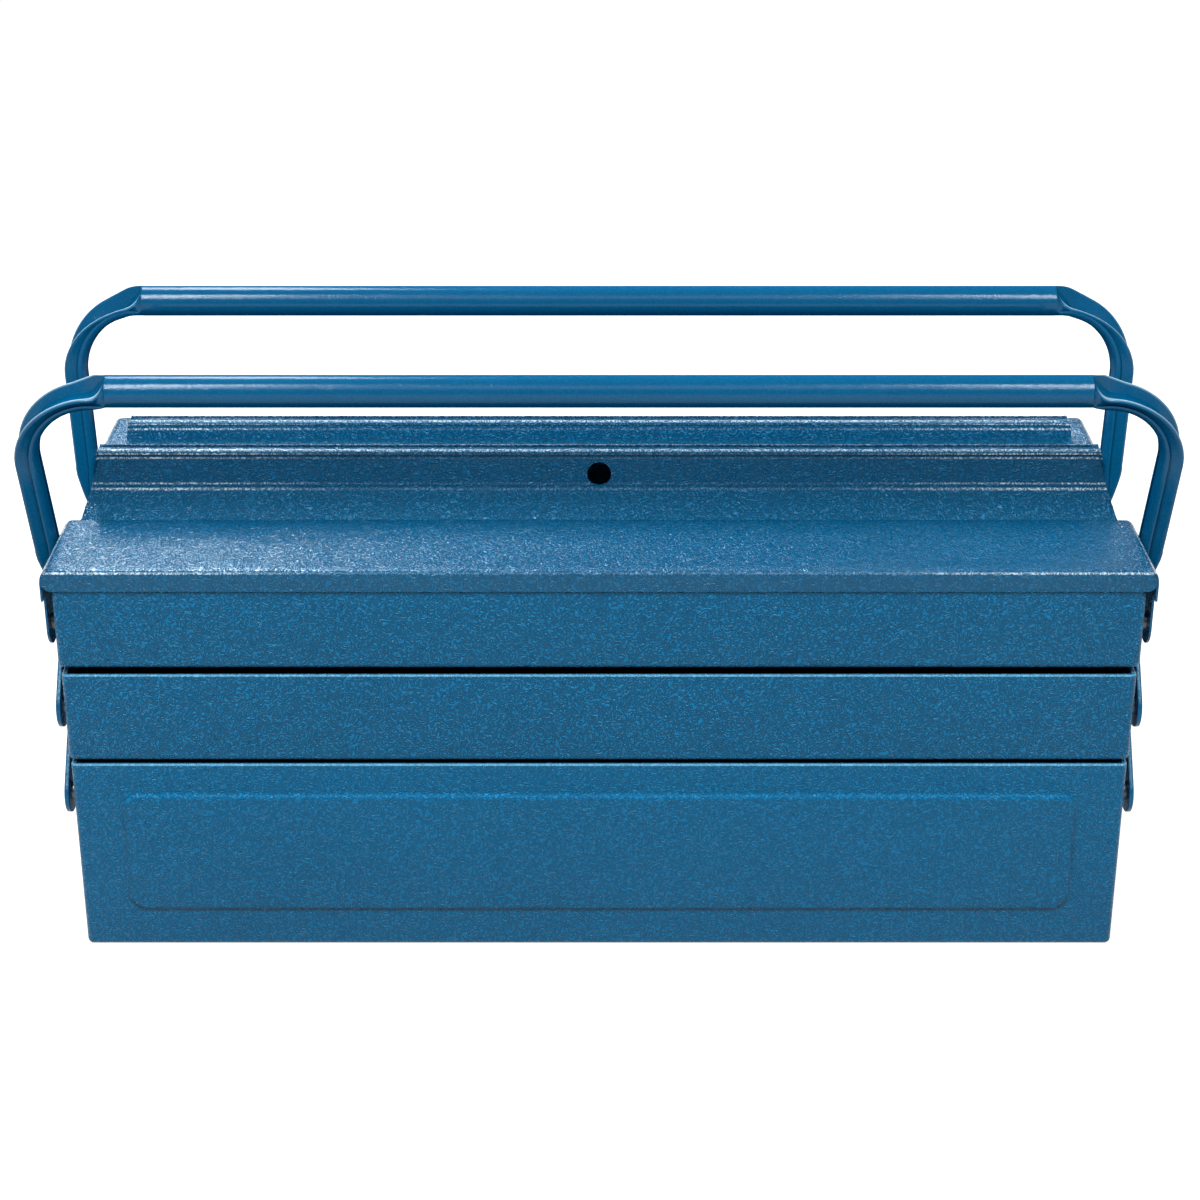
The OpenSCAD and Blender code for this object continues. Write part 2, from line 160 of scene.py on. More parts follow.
def resample(path: Array, count: int) -> Array:
    """Spreads count points evenly by length along a path."""
    along = lengths(path)
    want = np.linspace(0, along[-1], count)
    return spread(*(np.interp(want, along, axis) for axis in path.T))


def linked(name: str, data: bpy.types.ID) -> Object:
    """Makes an object of a mesh, lamp or camera and links it to the scene."""
    obj = bpy.data.objects.new(name, data)
    bpy.context.collection.objects.link(obj)
    return obj


@contextmanager
def editing(mesh: Mesh) -> Iterator[bmesh.types.BMesh]:
    """Opens a mesh for editing and writes the result back to it."""
    work = bmesh.new()
    work.from_mesh(mesh)
    yield work
    work.to_mesh(mesh)
    work.free()


def shade(obj: Object, smooth_under: float = SMOOTH_UNDER) -> None:
    """Shades an object smooth and marks the edges that are sharper than an angle in degrees."""
    mesh = obj.data
    mesh.polygons.foreach_set("use_smooth", np.ones(len(mesh.polygons), dtype=bool))
    mesh.set_sharp_from_angle(angle=math.radians(smooth_under))
    mesh.update()


def modify(obj: Object, kind: str, **values: object) -> None:
    """Puts the result of one modifier, made with the given properties, into an object's mesh."""
    modifier = obj.modifiers.new(kind.lower(), kind)
    for key, value in values.items():
        setattr(modifier, key, value)
    graph = bpy.context.evaluated_depsgraph_get()
    old = obj.data
    obj.data = bpy.data.meshes.new_from_object(obj.evaluated_get(graph))
    obj.data.name = old.name
    obj.modifiers.clear()
    bpy.data.meshes.remove(old)
    shade(obj)


@dataclass
class Shell:
    """Collects grids and solids in millimetres and makes one object of them."""

    points: list[Array] = field(default_factory=list)
    quads: list[list[int]] = field(default_factory=list)
    flats: list[list[int]] = field(default_factory=list)

    def grid(self, p: Array, loop: bool = False) -> Array:
        """Adds a surface of points p[i, j], whose last column may join the first; returns their numbers."""
        ids = np.arange(p.size // 3).reshape(p.shape[:2]) + sum(map(len, self.points))
        full = np.concatenate([ids, ids[:, :1]], axis=1) if loop else ids
        quads = np.stack([full[:-1, :-1], full[1:, :-1], full[1:, 1:], full[:-1, 1:]], axis=-1)
        self.points.append(p.reshape(-1, 3))
        self.quads += quads.reshape(-1, 4).tolist()
        return ids

    def solid(self, rings: list[Array] | Array) -> None:
        """Adds a solid: closed rings of points joined one to the next, with a flat face on both end rings."""
        ids = self.grid(np.stack(rings), loop=True)
        self.flats += ids[[0, -1]].tolist()

    def drop(self, edge: Array, level: float | Array, rows: int) -> None:
        """Adds a wall that goes from an edge straight down to a level, or to one for each of its points."""
        x, y, z = edge.T
        self.grid(spread(x, y, z + (level - z) * np.linspace(0, 1, rows)[:, None]))

    def plate(self, outline: Array, low: float, high: float, edge: float) -> None:
        """Adds a flat plate across X: the outline, drawn in Y and Z, with its two rims rounded off.

        Ring k is the outline moved inwards by edge * (1 - sin t) at x = rim -/+ edge * (1 - cos t).

        Args:
            outline: Closed outline in Y and Z, anticlockwise seen from +X.
            low: Lower X of the plate.
            high: Upper X of the plate.
            edge: Radius of the rims.
        """
        d = np.roll(outline, -1, axis=0) - np.roll(outline, 1, axis=0)
        d = d / np.maximum(np.linalg.norm(d, axis=1, keepdims=True), 1e-9)
        inward = spread(-d[:, 1], d[:, 0])
        t = np.radians([0.0, 30.0, 60.0, 90.0])
        half = [(outline + inward * edge * (1 - s), edge * (1 - c)) for s, c in zip(np.sin(t), np.cos(t))]
        rings = [spread(low + dx, *ring.T) for ring, dx in half]
        self.solid(rings + [spread(high - dx, *ring.T) for ring, dx in reversed(half)])

    def lathe(self, profile: Array, y: float, z: float, end: End, steps: int = 40) -> None:
        """Adds a turned solid about a line along X: point (x, r) of the profile sweeps the circle of radius r."""
        a = np.linspace(0, 2 * np.pi, steps, endpoint=False)
        x, r = profile[:, :1], profile[:, 1:]
        self.solid(spread(end.value * x, y + r * np.cos(a), z + r * np.sin(a)))

    def make(self, name: str, smooth_under: float = SMOOTH_UNDER) -> Object:
        """Makes the object: welds doubles, turns faces outwards and shades smooth below an angle in degrees."""
        mesh = bpy.data.meshes.new(name)
        mesh.from_pydata((np.concatenate(self.points) * MM).tolist(), [], self.quads + self.flats)
        with editing(mesh) as work:
            bmesh.ops.remove_doubles(work, verts=work.verts, dist=WELD * MM)
            bmesh.ops.dissolve_degenerate(work, edges=work.edges, dist=1e-7)
            bmesh.ops.recalc_face_normals(work, faces=work.faces)
        obj = linked(name, mesh)
        shade(obj, smooth_under)
        return obj


@dataclass
class Nodes:
    """Short way to place and join shader nodes in one tree."""

    tree: NodeTree

    def feed(self, node: Node, inputs: dict[str | int, object]) -> None:
        """Gives each named or numbered input of a node its value, or a link from its source socket."""
        for key, value in inputs.items():
            if isinstance(value, Socket):
                self.tree.links.new(value, node.inputs[key])
            else:
                node.inputs[key].default_value = value

    def add(self, kind: str, inputs: dict[str | int, object] | None = None, **values: object) -> Node:
        """Places a node, sets its properties to the values and then feeds its inputs."""
        node = self.tree.nodes.new(kind)
        for key, value in values.items():
            setattr(node, key, value)
        self.feed(node, inputs or {})
        return node

    def math(self, kind: str, *values: float | Socket) -> Socket:
        """Result of a Math node on values or sockets."""
        return self.add("ShaderNodeMath", dict(enumerate(values)), operation=kind).outputs[0]

    def mix(self, first: Colour | Socket, second: Colour | Socket, factor: Socket) -> Socket:
        """Colour that goes from the first to the second one with the factor."""
        inputs = {"A": first, "B": second, "Factor": factor}
        return self.add("ShaderNodeMix", inputs, data_type="RGBA").outputs["Result"]

    def scale(self, colour: Socket, factor: Socket) -> Socket:
        """Colour times a factor."""
        return self.add("ShaderNodeVectorMath", {0: colour, "Scale": factor}, operation="SCALE").outputs[0]

    def ramp(self, value: Socket, low: float, high: float, start: float, stop: float) -> Socket:
        """Smooth step from start, where the value is low or less, to stop, where it is high or more."""
        inputs = {"Value": value, "From Min": low, "From Max": high, "To Min": start, "To Max": stop}
        return self.add("ShaderNodeMapRange", inputs, interpolation_type="SMOOTHSTEP").outputs["Result"]

    def lines(self, value: Socket, marks: Iterable[float], core: float, reach: float, peak: float) -> Socket:
        """Mask with the peak within core of each mark and 0 from reach on; all but the peak in millimetres."""
        total: Socket | float = 0.0
        for mark in marks:
            away = self.math("ABSOLUTE", self.math("SUBTRACT", value, mark * MM))
            total = self.math("ADD", self.ramp(away, core * MM, reach * MM, peak, 0.0), total)
        return total

    def past(self, value: Socket, limit: float) -> Socket:
        """How far a distance to either side goes past a limit in millimetres, or 0."""
        return self.math("MAXIMUM", self.math("SUBTRACT", self.math("ABSOLUTE", value), limit * MM), 0.0)

    def noise(self, place: Socket, scale: Socket, **inputs: float) -> Socket:
        """Value of a noise texture."""
        return self.add("ShaderNodeTexNoise", {"Vector": place, "Scale": scale, **inputs}).outputs["Fac"]

    def bump(self, height: Socket, strength: float, distance: float) -> Socket:
        """Normal bent by a height; the distance is in millimetres."""
        inputs = {"Strength": strength, "Distance": distance * MM, "Height": height}
        return self.add("ShaderNodeBump", inputs).outputs["Normal"]

    def group(self, tree: NodeTree, place: Socket, **inputs: float) -> bpy.types.bpy_prop_collection:
        """Places a shared group and gives its outputs."""
        return self.add("ShaderNodeGroup", {"Vector": place, **inputs}, node_tree=tree).outputs


def new_group(name: str, inputs: dict[str, float], outputs: Iterable[str]) -> NodeTree:
    """Makes a shader node group with a Vector, number inputs with their defaults, and number outputs."""
    tree = bpy.data.node_groups.new(name, "ShaderNodeTree")
    tree.interface.new_socket("Vector", in_out="INPUT", socket_type="NodeSocketVector")
    for key, value in inputs.items():
        socket = tree.interface.new_socket(key, in_out="INPUT", socket_type="NodeSocketFloat")
        socket.default_value = value
    for key in outputs:
        tree.interface.new_socket(key, in_out="OUTPUT", socket_type="NodeSocketFloat")
    return tree


def wrinkle_group() -> NodeTree:
    """Fine maze of a wrinkle paint: its ridges are ((1 + sin(2 pi * bands * noise)) / 2)^2 of a curled noise."""
    tree = new_group("wrinkle", {"Scale": 460.0, "Bands": 3.4}, ["Height"])
    n = Nodes(tree)
    enter = n.add("NodeGroupInput").outputs
    maze = n.noise(enter["Vector"], enter["Scale"], Detail=0.0, Distortion=0.5)
    fine = n.noise(enter["Vector"], n.math("MULTIPLY", enter["Scale"], 5.0), Detail=2.0, Roughness=0.6)
    turns = n.math("MULTIPLY", n.math("MULTIPLY", maze, enter["Bands"]), 2 * math.pi)
    wave = n.math("MULTIPLY_ADD", n.math("SINE", turns), 0.5, 0.5)
    n.add("NodeGroupOutput", {"Height": n.math("MULTIPLY_ADD", fine, 0.25, n.math("POWER", wave, 2.0))})
    return tree


def mottle_group() -> NodeTree:
    """Slow and quick variation of a coat, as two masks about 0.5."""
    scales = {"Slow": 9.0, "Quick": 70.0}
    tree = new_group("mottle", scales, scales)
    n = Nodes(tree)
    enter = n.add("NodeGroupInput").outputs
    masks = {key: n.noise(enter["Vector"], enter[key], Detail=3.0, Roughness=0.55) for key in scales}
    n.add("NodeGroupOutput", masks)
    return tree


def new_material(name: str) -> tuple[Material, Nodes, Node, Socket]:
    """Makes a material; gives it with the writer of its tree, its shader and its Object coordinates."""
    mat = bpy.data.materials.new(name)
    mat.use_nodes = True
    n = Nodes(mat.node_tree)
    return mat, n, mat.node_tree.nodes["Principled BSDF"], n.add("ShaderNodeTexCoord").outputs["Object"]


@dataclass(frozen=True)
class PaintFinish:
    """Stoved wrinkle paint: a blue coat with a fine maze of creases under a soft gloss, with painted shade in the
    creases.

    Heights and the panel's sizes are in millimetres; the panel is half its length, its lower and upper
    height and its corner radius. A tube has painted highlights on its lips and loses its gloss towards its rim.
    """

    name: str
    shade_low: Colour
    shade_high: Colour
    crease: float
    roughness: float
    dip: float = 0.3
    sheen: Colour = (0.3, 0.75, 1.0, 1.0)
    gloss: float = 0.5
    tube: bool = False
    edges: tuple[float, ...] = ()
    panel: tuple[float, float, float, float] | None = None
    bends: tuple[float, ...] = ()
    crest: float = 0.0
    edge_shade: Colour = srgb(120, 190, 224)
    bend_shade: Colour = srgb(205, 226, 238)
    lip_shade: Colour = srgb(178, 212, 230)

    def build(self, groups: Groups) -> Material:
        """Makes the material from the shared node groups."""
        mat, n, shader, place = new_material(self.name)
        height = n.group(groups["wrinkle"], place)["Height"]
        mottle = n.group(groups["mottle"], place)
        x, _, z = n.add("ShaderNodeSeparateXYZ", {0: place}).outputs
        # The slow mottle varies the tone at random. The height's share of the blend and the factor below are
        # painted shade, making the coat darker in the wrinkles' creases.
        blend = n.math("MULTIPLY_ADD", mottle["Slow"], 0.7, n.math("MULTIPLY", height, 0.3))
        depth = n.math("MULTIPLY_ADD", height, self.dip, 1.0 - 0.6 * self.dip)
        coat = n.scale(n.mix(self.shade_low, self.shade_high, blend), depth)
        gloss: float | Socket = self.gloss
        # Painted highlight: light lines along the trays' rims, at the heights in edges.
        if self.edges:
            coat = n.mix(coat, self.edge_shade, n.lines(z, self.edges, 0.2, 0.6, 0.65))
        # Painted light and shade on the raised panel's upper and lower shoulders.
        if self.panel:
            coat = n.scale(coat, self.panel_tone(n, x, z))
        # Painted highlight: light streaks on the lid's bends towards its ends, and a light band on the ridge's
        # crest, on the wrinkles' tops.
        if self.bends:
            coat = n.mix(coat, self.bend_shade, n.math("MULTIPLY", self.bend_mask(n, x, z), height))
        # Painted highlight on the trough's lips, taken from the attribute "lip".
        if self.tube:
            lip = n.add("ShaderNodeAttribute", attribute_name="lip").outputs["Fac"]
            coat = n.mix(coat, self.lip_shade, lip)
            facing = n.add("ShaderNodeLayerWeight", {"Blend": 0.5}).outputs["Facing"]
            gloss = n.ramp(facing, 0.15, 0.6, self.gloss, 0.0)
        rough = n.math("MULTIPLY_ADD", mottle["Quick"], 0.12, self.roughness - 0.06)
        n.feed(shader, {"Base Color": coat, "Roughness": rough, "Normal": n.bump(height, 1.0, self.crease),
                        "Specular Tint": self.sheen, "Specular IOR Level": gloss})
        return mat

    def panel_tone(self, n: Nodes, x: Socket, z: Socket) -> Socket:
        """Factor for the coat on the pressed panel's shoulders: painted light on the upper one and painted shade on
        the lower one.

        With q the distance in X and Z past the rectangle of the corners' centres, the shoulder lies where the
        length of q is the corner radius. On its line, 2.1 mm wide to each side, the factor is 1 - 0.1 + 0.36 *
        the upward share of q's direction.

        Args:
            n: Writer for the material's tree.
            x: X of the place.
            z: Z of the place.

        Returns:
            The factor's socket.
        """
        half_x, low_z, high_z, radius = self.panel
        rise = n.math("SUBTRACT", z, (low_z + high_z) / 2 * MM)
        over_x, over_z = n.past(x, half_x - radius), n.past(rise, (high_z - low_z) / 2 - radius)
        length = n.math("SQRT", n.math("MULTIPLY_ADD", over_x, over_x, n.math("MULTIPLY", over_z, over_z)))
        slope = n.math("DIVIDE", over_z, n.math("MAXIMUM", length, 1e-5))
        change = n.math("MULTIPLY_ADD", n.math("MULTIPLY", n.math("SIGN", rise), slope), 0.36, -0.1)
        return n.math("MULTIPLY_ADD", change, n.lines(length, [radius], 0.6, 2.1, 1.0), 1.0)

    def bend_mask(self, n: Nodes, x: Socket, z: Socket) -> Socket:
        """Mask of the painted highlights: 1 on the bends from 225 mm out, 0.12 within 110 mm, and 0.6 on the crest.
        """
        ends = n.ramp(n.math("ABSOLUTE", x), 0.11, 0.225, 0.12, 1.0)
        top = n.ramp(z, (self.crest - 0.9) * MM, (self.crest - 0.2) * MM, 0.0, 0.6)
        return n.math("MULTIPLY_ADD", n.lines(z, self.bends, 0.1, 0.7, 1.0), ends, top)


@dataclass(frozen=True)
class ZincFinish:
    """Bright zinc plate with a faint turned grain and dull patches."""

    name: str
    bright: Colour
    dull: Colour
    roughness: float

    def build(self, groups: Groups) -> Material:
        """Makes the material from the shared node groups."""
        mat, n, shader, place = new_material(self.name)
        mottle = n.group(groups["mottle"], place, Slow=160.0, Quick=900.0)
        rough = n.math("MULTIPLY_ADD", mottle["Quick"], 0.2, self.roughness - 0.1)
        n.feed(shader, {"Base Color": n.mix(self.dull, self.bright, mottle["Slow"]), "Roughness": rough,
                        "Normal": n.bump(mottle["Quick"], 0.15, 0.04), "Metallic": 1.0})
        return mat


class Finishes:
    """The part's materials, made once and given out by name."""

    def __init__(self) -> None:
        """Builds the shared groups and each finish."""
        groups = {"wrinkle": wrinkle_group(), "mottle": mottle_group()}
        low, high = srgb(0, 85, 128), srgb(7, 101, 148)
        dark, clear = srgb(0, 75, 114), srgb(5, 88, 130)
        pale, white = (0.45, 0.82, 1.0, 1.0), (0.85, 0.95, 1.0, 1.0)
        # Heights of the trays' rims, which get painted highlight lines.
        rims = (99.5, 146.5, 191.5)
        self.sheet = PaintFinish("wrinkle_blue", low, high, 0.4, 0.28, 0.75, edges=rims).build(groups)
        self.base = PaintFinish("base_blue", low, high, 0.3, 0.28, 0.5, edges=rims,
                                panel=(227.2, 20.8, 83.2, 8.5)).build(groups)
        self.lid = PaintFinish("lid_blue", dark, clear, 0.25, 0.2, 0.55, pale, 0.5,
                               bends=(199.0, 210.7, 213.2, 225.6, 227.9), crest=229.6).build(groups)
        self.tube = PaintFinish("tube_blue", dark, clear, 0.015, 0.18, 0.08, white, 0.27, True).build(groups)
        self.arm = PaintFinish("arm_blue", dark, clear, 0.04, 0.3, 0.12, pale).build(groups)
        self.zinc = ZincFinish("zinc_plate", srgb(132, 139, 145), srgb(82, 88, 95), 0.34).build(groups)


@dataclass(frozen=True)
class Lattice:
    """Places that several pieces share: pivots, levels and distances from the middle, in millimetres."""

    row_y: Vector = (-85.0, -48.0, -11.0)
    wall_y: float = 100.0
    base_z: float = 78.0
    mid_z: float = 124.0
    top_z: float = 170.0
    lid_z: float = 168.0
    base_x: float = 250.0
    mid_x: float = 250.5
    top_x: float = 251.5
    arm_x: float = 253.3
    arm_out: float = 255.5
    flange_x: float = 255.0
    lid_x: float = 256.0
    foot_x: float = 256.4
    foot_out: float = 258.8
    lid_top: float = 200.0
    lean: float = 10.3


PLACE = Lattice()


def dress(obj: Object, node: str, body: str, mat: Material, side: Side = Side.FRONT) -> None:
    """Gives a piece its finish and place: turns it to its side, and lets it stand for its node.

    Args:
        obj: The piece, built for the front of the box.
        node: Node of the part that it replaces.
        body: Body that it rides on.
        mat: Its material.
        side: Side of the box; a rear piece has its Y turned round.
    """
    if side is Side.REAR:
        flip_y(obj.data)
    obj.data.materials.clear()
    obj.data.materials.append(mat)
    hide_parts(node)
    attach(obj, body)
    LOG.info("%s: %d faces on %s", obj.name, len(obj.data.polygons), body)


def flip_y(mesh: Mesh) -> None:
    """Mirrors a mesh in the plane Y = 0 and turns its faces outwards again."""
    with editing(mesh) as work:
        for vert in work.verts:
            vert.co.y = -vert.co.y
        bmesh.ops.reverse_faces(work, faces=work.faces)
    mesh.update()


@dataclass
class Tray:
    """Open tray pressed from sheet, with a folded hem that makes a round rim."""

    half_x: float
    near_y: float
    far_y: float
    floor_z: float
    height: float
    corner: float = 2.8
    sheet: float = 1.0
    hem: float = 2.2
    hem_h: float = 8.0
    hem_r: float = 0.5
    foot: float = 3.0

    def profile(self) -> Array:
        """Wall's section as points (inset, height), from the underside over the rim to the inner floor."""
        h, f, s, r, half = self.height, self.foot, self.sheet, self.hem_r, self.hem / 2
        inner = f - s
        return np.concatenate([
            arc((f, f), f, 270, 180, 7),
            arc((half, h - half), half, 180, 0, 10),
            arc((self.hem - r, h - self.hem_h + r), r, 0, -90, 3),
            np.array([[s, h - self.hem_h]]),
            arc((s + inner, s + inner), inner, 180, 270, 5)])

    def add_to(self, shell: Shell) -> None:
        """Adds the tray: ring k is a round-cornered rectangle, inset and raised by the section's point k."""
        half_y, mid_y = (self.far_y - self.near_y) / 2, (self.far_y + self.near_y) / 2
        rings = []
        for inset, up in self.profile():
            r = max(self.corner - inset, 0.5)
            x, y = rounded_box_ring(self.half_x - inset, half_y - inset, (r, r)).T
            rings.append(spread(x, y + mid_y, self.floor_z + up))
        shell.solid(rings)


@dataclass
class RaisedPanel:
    """Panel pressed out of a long wall: a flat field with a soft shoulder all round."""

    half_x: float = 228.5
    low_z: float = 19.5
    high_z: float = 84.5
    rise: float = 1.2
    sunk: float = 0.4
    shoulder: float = 2.6
    radii: tuple[float, float] = (10.0, 7.0)

    def add_to(self, shell: Shell, side: Side) -> None:
        """Adds the panel on one long wall: its edge rises by rise * (1 - cos(pi t)) / 2 over the shoulder."""
        mid, half = (self.low_z + self.high_z) / 2, (self.high_z - self.low_z) / 2
        t = np.linspace(0, 1, 9)
        up = self.rise * (1 - np.cos(np.pi * t)) / 2
        rings = []
        for inset, out in [(0.0, -self.sunk), *zip(self.shoulder * t, up)]:
            low, high = (max(r - inset, 1.0) for r in self.radii)
            x, z = rounded_box_ring(self.half_x - inset, half - inset, (low, high), 10).T
            rings.append(spread(x, -side.value * (PLACE.wall_y + out), z + mid))
        shell.solid(rings)


@dataclass
class Divider:
    """Loose plate across a tray with a folded foot."""

    floor_z: float
    height: float
    near_y: float = -98.7
    far_y: float = -1.8
    sheet: float = 1.0
    foot: float = 9.0

    def add_to(self, shell: Shell) -> None:
        """Adds the plate: an L-shaped section, its bend 2 mm round outside and 1 mm inside, carried along Y."""
        s, floor, top = self.sheet, self.floor_z, self.floor_z + self.height
        outer = rounded_path([(-s / 2, top), (-s / 2, floor), (self.foot - s / 2, floor)], [2.0])
        inner = rounded_path([(self.foot - s / 2, floor + s), (s / 2, floor + s), (s / 2, top)], [1.0])
        x, z = np.concatenate([outer, inner]).T
        shell.solid([spread(x, y, z) for y in (self.near_y, self.far_y)])


@dataclass
class Lid:
    """Folded lid of two sheets: lip, panel and flanges with hinge ears, and the raised centre with its ridge."""

    foot_x: float = 245.8
    flare: float = 2.2
    flare_h: float = 4.0
    lean: float = 5.4
    hole_r: float = 5.75
    hole_z: float = 217.8
    lip_y: float = -101.3
    flat_y: float = -39.0
    panel_back: float = -40.02
    weld_w: float = 6.0
    riser_y: float = -25.0
    ridge_y: float = -15.0
    part_y: float = -0.35
    slope_z: float = 210.5
    ridge_z: float = 229.6
    strip_z: float = 219.6
    wall_z: float = 194.5
    lip_z: float = 190.0
    front_r: float = 2.0
    end_r: float = 4.5
    flange_z: float = 185.0
    flange_back: float = -44.3
    back_corner: float = 4.0
    ear_r: float = 10.5
    sheet: float = 1.0
    ear_steps: int = 16
    columns: int = 24

    def wall_x(self, z: Array) -> Array:
        """Half length of the raised centre at height z: it leans in evenly and flares near its foot."""
        up = np.clip(z - PLACE.lid_top, 0, None)
        flare = self.flare * np.exp(-up / self.flare_h)
        return self.foot_x + flare - self.lean * up / (self.ridge_z - PLACE.lid_top)

    def lip_path(self) -> Array:
        """Front part of the section as points (y, z): up the lip, round the bend, over the ear and back."""
        top, r = PLACE.lid_top, self.front_r
        lip = spread(self.lip_y, np.linspace(self.lip_z, top - r, 5)[:4])
        bend = arc((self.lip_y + r, top - r), r, 180, 90, 6)
        ear = PLACE.row_y[0] - self.ear_r * np.cos(np.linspace(0, np.pi, self.ear_steps + 1))
        flat = np.concatenate([ear, np.linspace(ear[-1], self.flange_back, 8)[1:],
                               np.linspace(self.flange_back, self.panel_back, 7)[1:]])
        return np.concatenate([lip, bend, spread(flat, top)])

    def raised_path(self) -> Array:
        """Section of the raised centre as points (y, z), from the strip under the panel to the parting wall."""
        low = PLACE.lid_top - self.sheet
        points = [(self.flat_y - self.weld_w, low), (self.flat_y, low), (self.riser_y, self.slope_z),
                  (self.riser_y, self.ridge_z), (self.ridge_y, self.ridge_z), (self.ridge_y, self.strip_z),
                  (self.part_y, self.strip_z), (self.part_y, self.wall_z)]
        return rounded_path(points, [1.8, 3.0, 2.0, 1.7, 1.2, 1.6])

    def build_panel(self, name: str) -> Object:
        """Makes the lip and panel, one bent sheet: the section carried along X, and two end fields."""
        shell = Shell()
        path = self.lip_path()
        across = np.linspace(-1, 1, 2 * self.columns + 1)
        shell.grid(spread(self.foot_x * across, path[:, :1], path[:, 1:]))
        for end in End:
            self._add_end(shell, path, end)
        return self._thicken(shell.make(name))

    def build_ridge(self, name: str, hole: bool) -> Object:
        """Makes the raised centre: its section carried along X with half length wall_x(z), and end walls."""
        shell = Shell()
        path = self.raised_path()
        across = np.linspace(-1, 1, 2 * self.columns + 1)
        shell.grid(spread(self.wall_x(path[:, 1:]) * across, path[:, :1], path[:, 1:]))
        y, z = path.T
        down = z + (self.wall_z - z) * np.linspace(0, 1, 13)[:, None]
        for end in End:
            shell.grid(spread(end.value * self.wall_x(down), y, down))
        obj = self._thicken(shell.make(name))
        if hole:
            self._punch(obj)
        return obj

    def _add_end(self, shell: Shell, front: Array, end: End) -> None:
        """Adds an end field: flat strip, end bend, flange and ear.

        The bend lowers the section by end_r * (1 - cos a), and draws in the lip's foot and the panel's back
        corner by the quarter circle sqrt(1 - sin(a)^2).

        Args:
            shell: Shell that takes the field.
            front: Section of lip and panel.
            end: End of the box.
        """
        r, bend_x, lip_top = self.end_r, PLACE.lid_x - self.end_r, PLACE.lid_top - self.front_r
        a = np.radians(np.linspace(0, 90, 9))
        xs = np.concatenate([[self.foot_x, (self.foot_x + bend_x) / 2], bend_x + r * np.sin(a)])
        drops = np.concatenate([[0, 0], r * (1 - np.cos(a))])
        y, z = front.T
        lip = z < lip_top - 1e-6
        share = np.where(lip, (z - self.lip_z) / (lip_top - self.lip_z), 1.0)
        share_y = (y - self.flange_back) / (self.panel_back - self.flange_back)
        rows = []
        for x, drop in zip(xs, drops):
            high = lip_top - drop
            cutoff = np.sqrt(max(1 - ((x - bend_x) / r) ** 2, 0.0)) if x > bend_x else 1.0
            low = high + (self.lip_z - high) * cutoff
            back = self.panel_back - self.back_corner * (1 - cutoff)
            yy = np.where(y > self.flange_back, self.flange_back + (back - self.flange_back) * share_y, y)
            rows.append(spread(end.value * x, yy, np.where(lip, low + share * (high - low), z - drop)))
        shell.grid(np.stack(rows))
        edge = rows[-1][~lip & (y <= self.flange_back + 1e-6)]
        shell.drop(edge, self.flange_z, 3)
        x, y, _ = edge[np.abs(edge[:, 1] - PLACE.row_y[0]) <= self.ear_r + 1e-6].T
        bottom = PLACE.lid_z - np.sqrt(np.clip(self.ear_r ** 2 - (y - PLACE.row_y[0]) ** 2, 0, None))
        shell.drop(spread(x, y, self.flange_z), bottom, 8)

    def _thicken(self, obj: Object) -> Object:
        """Turns a skin's faces outwards, so that its highest one looks up, and gives it the sheet's thickness."""
        with editing(obj.data) as work:
            top = max(work.faces, key=lambda f: f.calc_center_median().z)
            if top.normal.z < 0:
                bmesh.ops.reverse_faces(work, faces=work.faces)
        modify(obj, "SOLIDIFY", thickness=self.sheet * MM, offset=-1, use_quality_normals=True)
        return obj

    def _punch(self, obj: Object) -> None:
        """Cuts the padlock hole through the riser with a round cutter along Y."""
        x, z = arc((0.0, self.hole_z), self.hole_r, 0, 360, 64)[:-1].T
        tool = Shell()
        tool.solid([spread(x, self.riser_y + way, z) for way in (-3, 3)])
        cutter = tool.make("hole_cutter")
        modify(obj, "BOOLEAN", operation="DIFFERENCE", solver="EXACT", object=cutter)
        bpy.data.objects.remove(cutter, do_unlink=True)


